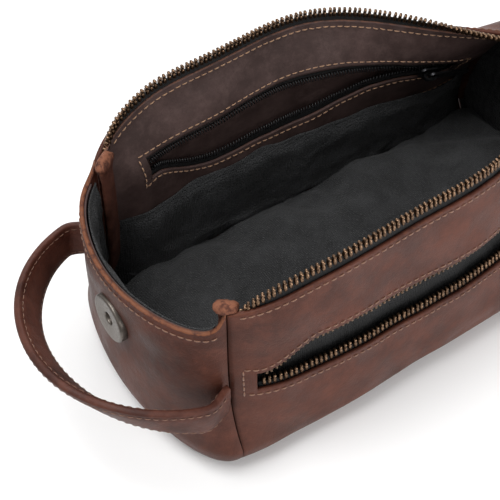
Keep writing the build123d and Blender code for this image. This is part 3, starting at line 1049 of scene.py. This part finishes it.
def pouch(pocket, bottom, rim_lift, belly, name, node, material):
    """The pocket's inner wall, dished inwards from its zip."""
    low_x, high_x = pocket.start - 4, pocket.stop + 10
    grid = []
    for x in spread(low_x, high_x, 70 // fine):
        top = pocket.half_gape(x) + 12
        low = bottom - pocket.centre(x)
        row = []
        for away in spread(low, top, 34 // fine):
            shape = dish(x, low_x, high_x, 14) * dish(away, low, top, 12)
            ripple = 0.5 * noise.noise(Vector((x, away * 1.6, 4)) / 11) * shape
            least = leather + 0.6 - pocket.layer(height_to_v(x, pocket.centre(x) + away))
            row.append(pocket.at(x, away, max(rim_lift + belly * shape + ripple, least)))
        grid.append(row)
    thing = sheet_piece(name, grid, 0.6)
    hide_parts(node)
    finish(thing, material, "bag")
    return thing


def facing():
    """Leather facing inside the back wall, with the small zip's slit."""

    def surface(x, v):
        return wall_in(1, x, v, hugging(x, liner_layer(v)))

    thing = slit_wall(
        "back_facing_leather",
        inner_pocket,
        inner_window,
        facing_thick,
        surface,
        lambda x: height_to_v(x, facing_low - 4),
        lambda x: below_zip(x, tape_show - 0.6),
        (26, 26),
        (left_x + 2.5, right_x - 8),
    )
    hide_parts("back_facing")
    return finish(thing, facing_leather, "bag")


def lining_ripple(x, y, z, amount):
    place = Vector((x, y, z))
    slow = noise.noise(place / 23 + Vector((9, 1, 4)))
    quick_one = noise.noise(Vector((x * 0.7, y, z * 1.3)) / 9 + Vector((2, 8, 1)))
    return amount * (0.75 * slow + 0.3 * quick_one)


def wall_lining(side, low, high, name, node):
    """Loose lining over one wall; the back one puffs out over the facing's lower edge."""
    grid = []
    for x in spread(left_x + 2.5, right_x - 7, 130 // fine):
        if high is None:
            top = below_zip(x, 11.0)
        else:
            top = height_to_v(x, high + 3.0 * noise.noise(Vector((x / 19, 3, 1))))
        near_seam = ease((x - left_x) / 12)
        row = []
        for v in spread(low, top, 44 // fine):
            here = wall_point(side, x, v)
            free = ease((v - low) / 0.1 + 0.3) * ease((top - v) / 0.05)
            puff = 0.0 if high is None else (facing_thick + 1.2) * ease((v - low) / 0.1) + 2.6 * free
            fold = lining_ripple(*here, 1.5) + cloth_crease(*here, 1.1)
            depth = hugging(x, liner_layer(v)) + 0.2 + (puff + fold * free) * near_seam
            row.append(wall_in(side, x, v, depth))
        grid.append(row)
    thing = sheet_piece(name, grid, 0.7)
    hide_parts(node)
    finish(thing, lining_cloth, "bag")
    return thing


def end_lining(side, name, node):
    top = 0.945 if side < 0 else 0.89
    grid = []
    for t in spread(-0.9, 0.9, 60 // fine):
        row = []
        for v in spread(0.06, top, 64 // fine):
            here = end_point(side, t, v)
            free = ease((v - 0.04) / 0.1) * ease((top - v) / 0.1)
            fold = lining_ripple(*here, 1.6) + cloth_crease(*here, 1.2)
            row.append(end_in(side, t, v, leather + 1.9 + (1.6 + fold) * free))
        grid.append(row)
    thing = sheet_piece(name, grid, 0.7)
    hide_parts(node)
    finish(thing, lining_cloth, "bag")
    return thing


def floor_outline(x, y):
    """1 well inside the floor's plan, falling to 0 at its rounded edge."""
    half = foot_half(min(max(x, left_x), right_x)) - 17.5
    bow_left = left_x - (left_bow - 9) * math.sqrt(max(1 - (y / (half + 4)) ** 2, 0.0)) + 9
    bow_right = right_x + (right_bow - 7) * math.sqrt(max(1 - (y / (half + 4)) ** 2, 0.0)) - 9
    inside = min(half - abs(y), x - bow_left, bow_right - x)
    return math.sqrt(max(1 - (1 - min(max(inside / 9.0, 0.0), 1.0)) ** 2, 0.0))


def apply_modifiers(thing):
    """Bakes a piece's modifiers into its mesh."""
    depsgraph = bpy.context.evaluated_depsgraph_get()
    mesh = bpy.data.meshes.new_from_object(thing.evaluated_get(depsgraph))
    thing.modifiers.clear()
    thing.data = mesh


def swell(thing, held_below, cap):
    """Blows a closed pad up by cloth simulation, with no point moving more than cap."""
    frames = 20
    even = thing.modifiers.new("even", "REMESH")
    even.mode = "VOXEL"
    even.voxel_size = 4.5 * MM
    apply_modifiers(thing)
    mesh = thing.data
    start = np.empty(len(mesh.vertices) * 3)
    mesh.vertices.foreach_get("co", start)
    start = start.reshape(-1, 3)
    held = thing.vertex_groups.new(name="held")
    low_points = [i for i in range(len(start)) if start[i, 2] < held_below * MM]
    held.add(low_points, 1.0, "REPLACE")
    cloth = thing.modifiers.new("swell", "CLOTH")
    cloth.settings.quality = 5
    cloth.settings.mass = 0.3
    cloth.settings.use_pressure = True
    cloth.settings.uniform_pressure_force = 4.0
    cloth.settings.shrink_min = -0.07
    cloth.settings.vertex_group_mass = "held"
    cloth.settings.effector_weights.gravity = 0
    cloth.point_cache.frame_start = 1
    cloth.point_cache.frame_end = frames
    scene = bpy.context.scene
    scene.frame_start = 1
    scene.frame_end = frames
    for step in range(1, frames + 1):
        scene.frame_set(step)
    depsgraph = bpy.context.evaluated_depsgraph_get()
    blown = thing.evaluated_get(depsgraph)
    moved = np.empty(len(start) * 3)
    blown.data.vertices.foreach_get("co", moved)
    moved = moved.reshape(-1, 3) - start
    thing.modifiers.clear()
    thing.vertex_groups.clear()
    length = np.linalg.norm(moved, axis=1, keepdims=True)
    moved *= np.minimum(1.0, cap * MM / np.maximum(length, 1e-9))
    moved[:, :2] *= 0.6
    mesh.vertices.foreach_set("co", (start + moved).reshape(-1))
    mesh.update()
    scene.frame_set(1)
    return thing


def floor_cloth():
    """Padded floor: a crowned closed form, swelled by cloth simulation, then creased."""
    rows = 90
    columns = 46
    top, bottom = [], []
    for i in range(rows):
        line_top, line_bottom = [], []
        for j in range(columns):
            t = -1 + 2 * j / (columns - 1)
            half = foot_half(left_x + bag_length * i / (rows - 1)) - 15.4
            y = half * t
            low_x = left_x - (left_bow - 11) * math.sqrt(max(1 - (0.97 * t) ** 2, 0.0)) + 4
            high_x = right_x + (right_bow - 7) * math.sqrt(max(1 - (0.97 * t) ** 2, 0.0)) - 6
            x = low_x + (high_x - low_x) * i / (rows - 1)
            crown = 4.0 * floor_outline(x, y)
            line_top.append(np.array((x, y, 19.0 + crown + lining_ripple(x, y, 20, 1.6))))
            line_bottom.append(np.array((x, y, 6.2)))
        top.append(line_top)
        bottom.append(line_bottom)
    g = np.concatenate([np.array(top).reshape(-1, 3), np.array(bottom).reshape(-1, 3)])
    count = rows * columns
    faces = []
    for i in range(rows - 1):
        for j in range(columns - 1):
            a = i * columns + j
            faces.append((a, a + columns, a + columns + 1, a + 1))
            faces.append((count + a, count + a + 1, count + a + columns + 1, count + a + columns))
    rim = [(0, j) for j in range(columns)] + [(i, columns - 1) for i in range(1, rows)]
    rim += [(rows - 1, j) for j in range(columns - 2, -1, -1)] + [(i, 0) for i in range(rows - 2, 0, -1)]
    for k, (i, j) in enumerate(rim):
        ni, nj = rim[(k + 1) % len(rim)]
        a, b = i * columns + j, ni * columns + nj
        faces.append((a, b, count + b, count + a))
    thing = new_object("floor_lining", g, faces)
    tidy_normals(thing)
    swell(thing, 9.0, 4.5)
    soft = thing.modifiers.new("soft", "SUBSURF")
    soft.levels = 1
    soft.render_levels = 1
    apply_modifiers(thing)
    for vertex in thing.data.vertices:
        x, y, z = (c / MM for c in vertex.co)
        if z > 14:
            vertex.co.z += cloth_crease(x, y, z, 1.0) * MM
    thing.data.polygons.foreach_set("use_smooth", [True] * len(thing.data.polygons))
    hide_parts("floor_pad")
    finish(thing, lining_cloth, "bag")
    return thing


def cloth_crease(x, y, z, amount):
    """Sharp-crested folds of loose cloth."""
    place = Vector((x, y, z))
    long_fold = 1 - abs(noise.noise(place / 30 + Vector((4, 7, 1)))) * 3.2
    short_fold = 1 - abs(noise.noise(Vector((x + 0.6 * y, y - 0.3 * x, z)) / 13 + Vector((1, 2, 8)))) * 3.0
    return amount * (1.1 * max(long_fold, 0.0) ** 2 + 0.45 * max(short_fold, 0.0) ** 2)


# ---------------------------------------------------------------- bindings, strap, snap
def binding(x_side, y_side, name, node):
    """Rough leather strip folded over a corner seam, with a knob where it is rolled over the top."""
    seam_x = x_side * bag_length / 2
    top = 1.0 if x_side < 0 else 0.62
    strip_length = 88
    cap_run = 3.2
    rings = 90 // fine
    sides = 28
    points, wear = [], []
    for i in range(rings):
        s = i / (rings - 1)
        v = 0.20 + (top - 0.20) * s
        depth, height = section(seam_x, v)
        down = (1 - s) * strip_length
        cap = 1.0 if down > cap_run else math.sqrt(max(1 - ((cap_run - down) / cap_run) ** 2, 0.0004))
        swelling = math.exp(-(((down - 3.6) / 2.6) ** 2))
        flat_size = 3.2 if x_side > 0 else (4.0 if y_side < 0 else 5.0)
        roll = 1.15 if y_side < 0 else 0.55
        wide = flat_size * (1 + 0.06 * math.sin(i * 0.31 + y_side)) * (1 + 0.30 * swelling) * cap
        thick = 1.9 * (1 + roll * swelling) * cap
        over = math.exp(-max(down - 2.0, 0.0) / 4.0)
        set_in = 3.6 - (2.0 if y_side < 0 else 0.6) * over
        centre = np.array((seam_x - x_side * set_in, y_side * (depth - set_in - 1.0), height))
        flat_way = unit(np.array((x_side * 0.80, y_side * -0.60, 0)))
        out_way = unit(np.array((x_side * 0.60, y_side * 0.80, 0)))
        for k in range(sides):
            a = 2 * math.pi * k / sides
            place = Vector((i * 0.16, math.cos(a) * 1.5, math.sin(a) * 1.5 + 7 * y_side))
            lump = 1 + 0.10 * noise.noise(place) + 0.07 * noise.noise(place * 3.1)
            c, n = math.cos(a), math.sin(a)
            c = math.copysign(abs(c) ** 0.74, c)
            n = math.copysign(abs(n) ** 0.8, n)
            groove = 1 - 0.22 * math.exp(-(((c * wide + 1.1) / 0.7) ** 2))
            points.append(centre + (flat_way * c * wide + out_way * n * thick * groove) * lump)
            wear.append(0.10 + 0.60 * edge_wear(down - 1.5, 4.0) + 0.25 * edge_wear((1 - abs(c)) * wide, 0.5))
    thing = new_object(name, points, ring_faces(rings, sides))
    set_wear(thing, wear)
    tidy_normals(thing)
    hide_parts(node)
    return finish(thing, binding_leather, "bag")


loop_root = np.array((left_x - 3.0, 0.0, 53.0))
loop_reach = 58.0
loop_rise = 8.0
loop_half = 65.0
loop_lean = 0.70
root_tuck = 0.11
reach_way = unit(np.array((-loop_reach, 0, loop_rise)))
width_way = unit(np.array((loop_rise, 0, loop_reach)))
reach_size = math.hypot(loop_reach, loop_rise)


def loop_point(s):
    """Middle line of the carry loop for s from -1 (front root) to 1 (back root)."""
    turn = math.pi / 2 * s
    reach = reach_size * max(math.cos(turn), 0.0) ** 1.15
    across = loop_half * math.sin(turn) * (1 - root_tuck * ease((abs(s) - 0.80) / 0.20))
    return loop_root + reach_way * reach + np.array((0, across, 0))


def strap_frames():
    """Places along the loop, each with the strap's width direction and its outer face's normal."""
    frames = []
    count = 140 // fine
    for i in range(count):
        s = -0.995 + 1.99 * i / (count - 1)
        here = loop_point(s)
        along = unit(loop_point(min(s + 0.004, 0.999)) - loop_point(max(s - 0.004, -0.999)))
        twist = loop_lean * math.cos(math.pi / 2 * s) ** 1.5 + 0.07 * noise.noise(Vector((s * 3, 1, 2)))
        outwards = np.cross(width_way, along)
        across = unit(width_way * math.cos(twist) + outwards * math.sin(twist))
        frames.append((here, across, unit(np.cross(along, across))))
    return frames


def strap():
    """Folded leather strap: rounded long edges, slightly cupped, stitched near both edges."""
    half_wide = 9.6
    half_thick = 2.1
    outline = []
    sides = 34
    for k in range(sides):
        a = 2 * math.pi * k / sides
        c, n = math.cos(a), math.sin(a)
        w = half_wide * math.copysign(abs(c) ** 0.35, c)
        t = half_thick * math.copysign(abs(n) ** 0.55, n)
        crown = 0.5 * (1 - (w / half_wide) ** 2) * math.copysign(1, n)
        pinch = -0.35 * math.exp(-(((abs(w) - half_wide + 2.2) / 0.9) ** 2)) * math.copysign(1, n)
        outline.append((w, t + crown + pinch))
    points, wear = [], []
    frames = strap_frames()
    for here, across, out in frames:
        for w, t in outline:
            points.append(here + across * w + out * t)
            wear.append(0.30 * edge_wear(half_wide - abs(w), 0.8))
    thing = new_object("carry_strap", points, ring_faces(len(frames), sides))
    set_wear(thing, wear)
    tidy_normals(thing)
    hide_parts("handle_strap")
    finish(thing, strap_leather, None)
    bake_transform(thing)
    for face in (-1, 1):
        for edge in (-1, 1):
            path = []
            for here, across, out in frames[4:-4]:
                beside = across * edge * (half_wide - 2.4)
                path.append((here + beside + out * face * (half_thick - 0.05), out * face))
            row = stitches(f"strap_stitch_{edge + 1}{face + 1}", path, rust_thread, None, 2.5, 0.24)
            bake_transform(row)
    return thing


def lathe(name, profile, place, segments=64):
    """Turned metal piece: profile of (radius, height) about the place's axis."""
    points = []
    origin, ax, ay, az = place
    for radius, height in profile:
        for k in range(segments):
            a = 2 * math.pi * k / segments
            spoke = ax * math.cos(a) + ay * math.sin(a)
            points.append(origin + spoke * max(radius, 0.001) + az * height)
    thing = new_object(name, points, ring_faces(len(profile), segments))
    tidy_normals(thing)
    return thing


def snap():
    """Magnetic snap's socket on the left end: stepped disc, centre hole, bright pin."""
    here = end_point(-1, 0.0, 0.66)
    up = unit(here - end_point(-1, 0.0, 0.62))
    out = unit(np.cross(np.array((0, 1.0, 0)), up))
    if out[0] > 0:
        out = -out
    out = unit(out + up * 0.10)
    place = (here, np.array((0, 1.0, 0)), unit(np.cross(out, np.array((0, 1.0, 0)))), out)
    side_wall = ((11.6, -0.8), (11.9, -0.5), (12.0, 0.1), (12.0, 2.2))
    bevel = ((11.95, 2.5), (11.8, 2.8), (11.5, 3.05), (11.1, 3.18))
    face = ((10.5, 3.2), (9.8, 3.16), (7.6, 2.98), (5.4, 2.8), (4.3, 2.7))
    hole = ((3.6, 2.62), (3.3, 2.45), (3.15, 2.2), (3.1, 1.7), (3.1, -0.4), (2.9, -0.5), (0.0, -0.5))
    socket = lathe("snap_disc", side_wall + bevel + face + hole, place, 96)
    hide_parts("snap_socket")
    finish(socket, gun_metal, "bag")
    stem = ((1.15, -0.6), (1.15, 0.9), (1.05, 1.2), (0.8, 1.4), (0.4, 1.5), (0.0, 1.52))
    pin = lathe("snap_pin", stem, place, 24)
    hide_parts("snap_post")
    finish(pin, bright_metal, "bag")
    return socket


# ---------------------------------------------------------------- stitch lines
def wall_line(side, low_x, high_x, v_of, lift):
    path = []
    for x in spread(low_x, high_x, 220 // fine):
        v = v_of(x)
        inwards = wall_normal(side, x, v)
        path.append((wall_point(side, x, v) + inwards * lift, -inwards))
    return path


def facing_line(low_x, high_x, v_of):
    """Line on the inner face of the back wall's facing."""
    path = []
    for x in spread(low_x, high_x, 220 // fine):
        v = v_of(x)
        inwards = wall_normal(1, x, v)
        path.append((wall_point(1, x, v) + inwards * (liner_layer(v) + facing_thick + 0.05), inwards))
    return path


def end_line(side, low_t, high_t, v, lift):
    path = []
    for t in spread(low_t, high_t, 160 // fine):
        inwards = end_normal(side, t, v)
        path.append((end_point(side, t, v) + inwards * lift, -inwards))
    return path


def rectangle_line(pocket, away, past, lift):
    """Stitch line round a slit: along its top, square across both ends, and back along the bottom."""
    path = []
    low_x, high_x = pocket.start - past, pocket.stop + past

    def place(x, sign, gap):
        v = height_to_v(x, pocket.centre(x) + sign * gap)
        inwards = wall_normal(pocket.side, x, v)
        depth = lift if pocket.side < 0 else pocket.layer(v) + facing_thick + lift
        out = -inwards if pocket.side < 0 else inwards
        return wall_point(pocket.side, x, v) + inwards * depth, out

    def gap_at(x):
        return pocket.half_gape(min(max(x, pocket.start + 1), pocket.stop - 1)) + away

    for x in spread(low_x, high_x, 200 // fine):
        path.append(place(x, 1, gap_at(x)))
    for g in spread(gap_at(high_x), -gap_at(high_x), 14)[1:]:
        path.append(place(high_x, 1, g))
    for x in spread(high_x, low_x, 200 // fine)[1:]:
        path.append(place(x, -1, gap_at(x)))
    for g in spread(-gap_at(low_x), gap_at(low_x), 14)[1:]:
        path.append(place(low_x, 1, g))
    return path


# ---------------------------------------------------------------- building it
ends = ((-1, "left"), (1, "right"))
walls = ((-1, "front"), (1, "back"))
lips = ((1, "upper"), (-1, "lower"))
shell_wrap()
for side, word in ends:
    shell_end(side, f"{word}_end_leather", f"{word}_end_panel")
for side, word in ends:
    end_hem(side, f"{word}_hem_leather", f"{word}_end_hem")
for x_side, end_word in ends:
    for y_side, wall_word in walls:
        binding(x_side, y_side, f"binding_{wall_word}_{end_word}_strip", f"binding_{wall_word}_{end_word}")
facing()

half_pitch = zip_pitch / 2
stop_profile = ((0.7, -1.5), (1.25, -1.2), (1.35, 0.2), (1.3, 1.6), (1.1, 2.3), (0.6, 2.6), (0.0, 2.65))
for side, word in walls:
    main_tape(side, f"main_tape_{word}_cloth", f"main_tape_{word}")
for (side, word), shift in zip(walls, (0.0, half_pitch)):
    row, node = f"main_teeth_{word}_row", f"main_teeth_{word}"
    teeth_row(row, main_line(side), left_x + 5, right_x - 6, shift, node)
for side, word in walls:
    here, up, out = main_line(side)(left_x + 4.6)
    place = (here, unit(np.cross(up, out)), out, up)
    block = lathe(f"main_stop_{word}_block", stop_profile, place, 20)
    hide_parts(f"main_stop_{word}")
    finish(block, tooth_metal, "bag")

pocket_lift = 0.8
tooth_lift = pocket_lift + tape_thick / 2
inner_tape_lift = -1.6
coil_lift = -0.6
for sign, word in lips:
    pocket_tape(outer_pocket, sign, pocket_lift, f"pocket_tape_{word}_cloth", f"pocket_tape_{word}")
for (sign, word), shift in zip(lips, (0.0, half_pitch)):
    row, node = f"pocket_teeth_{word}_row", f"pocket_teeth_{word}"
    line = pocket_line(outer_pocket, sign, tooth_lift)
    teeth_row(row, line, outer_pocket.start + 2, outer_pocket.stop - 2, shift, node)
for sign, word in lips:
    pocket_tape(inner_pocket, sign, inner_tape_lift, f"inner_tape_{word}_cloth", f"inner_tape_{word}")
for sign, word in lips:
    coil_row(inner_pocket, sign, coil_lift, f"inner_coil_{word}_turns", f"inner_coil_{word}")
# The front pocket's pouch gets the darkened cloth, whose darkness is partly real black cloth and partly
# painted shade.
pouch(outer_pocket, 30, 2.8, 2.8, "outer_pouch_cloth", "pocket_pouch", pouch_cloth_painted_shade)
pouch(inner_pocket, 40, -4.2, -2.6, "inner_pouch_back", "inner_pouch", facing_leather)

wall_lining(-1, 0.07, None, "front_lining", "liner_front")
wall_lining(1, 0.07, facing_low + 3, "back_lining", "liner_back")
for side, word in ends:
    end_lining(side, f"{word}_lining", f"liner_{word}")
floor = floor_cloth()

strap()
snap()

# Stitching
rim_stitch = tape_show + 2.6
sunk = -0.02


def rim_v(x):
    return below_zip(x, rim_stitch)


def facing_foot_v(x):
    return height_to_v(x, facing_low - 0.5)


for side, word in walls:
    stitches(f"rim_stitch_{word}", wall_line(side, left_x + 4, right_x - 14, rim_v, sunk), rust_thread)
stitches("facing_stitch_rim", facing_line(left_x + 10, right_x - 22, rim_v), tan_thread)
stitches("facing_stitch_foot", facing_line(left_x + 12, right_x - 22, facing_foot_v), tan_thread)
stitches("outer_pocket_stitch", rectangle_line(outer_pocket, outer_window + 2.6, 5.0, sunk), rust_thread)
stitches("inner_pocket_stitch", rectangle_line(inner_pocket, inner_window + 2.6, 4.6, 0.02), tan_thread)
for side, word in ends:
    stitches(f"{word}_end_stitch", end_line(side, -0.90, 0.90, end_tops[side] - 0.055, sunk), rust_thread)


def rounded(node, name, width, material, body):
    """The CAD piece again with its edges rounded, and a little wear all over."""
    source = bpy.data.objects[node]
    mesh = source.data.copy()
    mesh.transform(source.matrix_world)
    work = bmesh.new()
    work.from_mesh(mesh)
    bmesh.ops.remove_doubles(work, verts=work.verts, dist=0.02 * MM)
    bmesh.ops.dissolve_limit(work, angle_limit=math.radians(2), verts=work.verts, edges=work.edges)
    sharp = [e for e in work.edges if len(e.link_faces) == 2 and e.calc_face_angle() > math.radians(40)]
    bmesh.ops.bevel(
        work, geom=sharp, offset=width * MM, segments=3, profile=0.5, affect="EDGES", clamp_overlap=True
    )
    for face in work.faces:
        face.smooth = True
    work.to_mesh(mesh)
    work.free()
    thing = bpy.data.objects.new(name, mesh)
    bpy.context.scene.collection.objects.link(thing)
    set_wear(thing, [0.25] * len(mesh.vertices))
    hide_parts(node)
    return finish(thing, material, body)


rounded("pull_tab", "pull_tab_leather", 0.5, shell_leather, "main_pull")
rounded("main_end_tab", "end_tab_leather", 0.4, shell_leather, "bag")

# Materials for the CAD nodes that stay
kept = {
    "base_board": board_stuff,
    "main_slider": slider_metal,
    "main_puller": slider_metal,
    "snap_stud": gun_metal,
    "pocket_slider": slider_metal,
    "pocket_puller": slider_metal,
    "inner_slider": black_metal,
    "inner_puller": black_metal,
}
for node, material in kept.items():
    thing = bpy.data.objects[node]
    thing.data.materials.clear()
    thing.data.materials.append(material)

# ---------------------------------------------------------------- floor, light and camera
floor_size = 3.0
floor_corners = [(x * floor_size, y * floor_size, 0) for x, y in ((-1, -1), (1, -1), (1, 1), (-1, 1))]
stage_mesh = bpy.data.meshes.new("floor")
stage_mesh.from_pydata(floor_corners, [], [(0, 1, 2, 3)])
stage = bpy.data.objects.new("floor", stage_mesh)
bpy.context.scene.collection.objects.link(stage)
stage.location = (0, 0, -0.0004)
paper, _, paper_shader = node_tree("floor_paper", (0.86, 0.86, 0.86))
paper_shader.inputs["Roughness"].default_value = 0.9
stage_mesh.materials.append(paper)

world = bpy.data.worlds.new("studio")
world.use_nodes = True
world.node_tree.nodes["Background"].inputs["Color"].default_value = (1.0, 1.0, 1.0, 1)
world.node_tree.nodes["Background"].inputs["Strength"].default_value = 0.70
bpy.context.scene.world = world


def area_light(name, place, target, size, power):
    light = bpy.data.lights.new(name, "AREA")
    light.shape = "DISK"
    light.size = size
    light.energy = power
    holder = bpy.data.objects.new(name, light)
    bpy.context.scene.collection.objects.link(holder)
    holder.location = place
    way = Vector(target) - Vector(place)
    holder.rotation_euler = way.to_track_quat("-Z", "Y").to_euler()


centre = (-0.01, 0.0, 0.05)
area_light("key", (-0.50, 0.05, 1.30), centre, 0.8, 14)
area_light("front", (0.35, -1.15, 0.30), centre, 0.8, 10)
area_light("rim", (0.5, 1.0, 0.7), centre, 0.7, 5)

target = Vector((-66, 10, 50)) * MM
azimuth, elevation, distance = math.radians(-34.5), math.radians(49.3), 587 * MM
back_way = Vector(
    (math.sin(azimuth) * math.cos(elevation), -math.cos(azimuth) * math.cos(elevation), math.sin(elevation))
)
lens = bpy.data.cameras.new("camera")
lens.sensor_width = 36
lens.lens = 86.4
camera = bpy.data.objects.new("camera", lens)
bpy.context.scene.collection.objects.link(camera)
camera.location = target + back_way * distance
camera.rotation_euler = (-back_way).to_track_quat("-Z", "Y").to_euler()
bpy.context.scene.camera = camera
bpy.context.scene.view_settings.view_transform = "Standard"
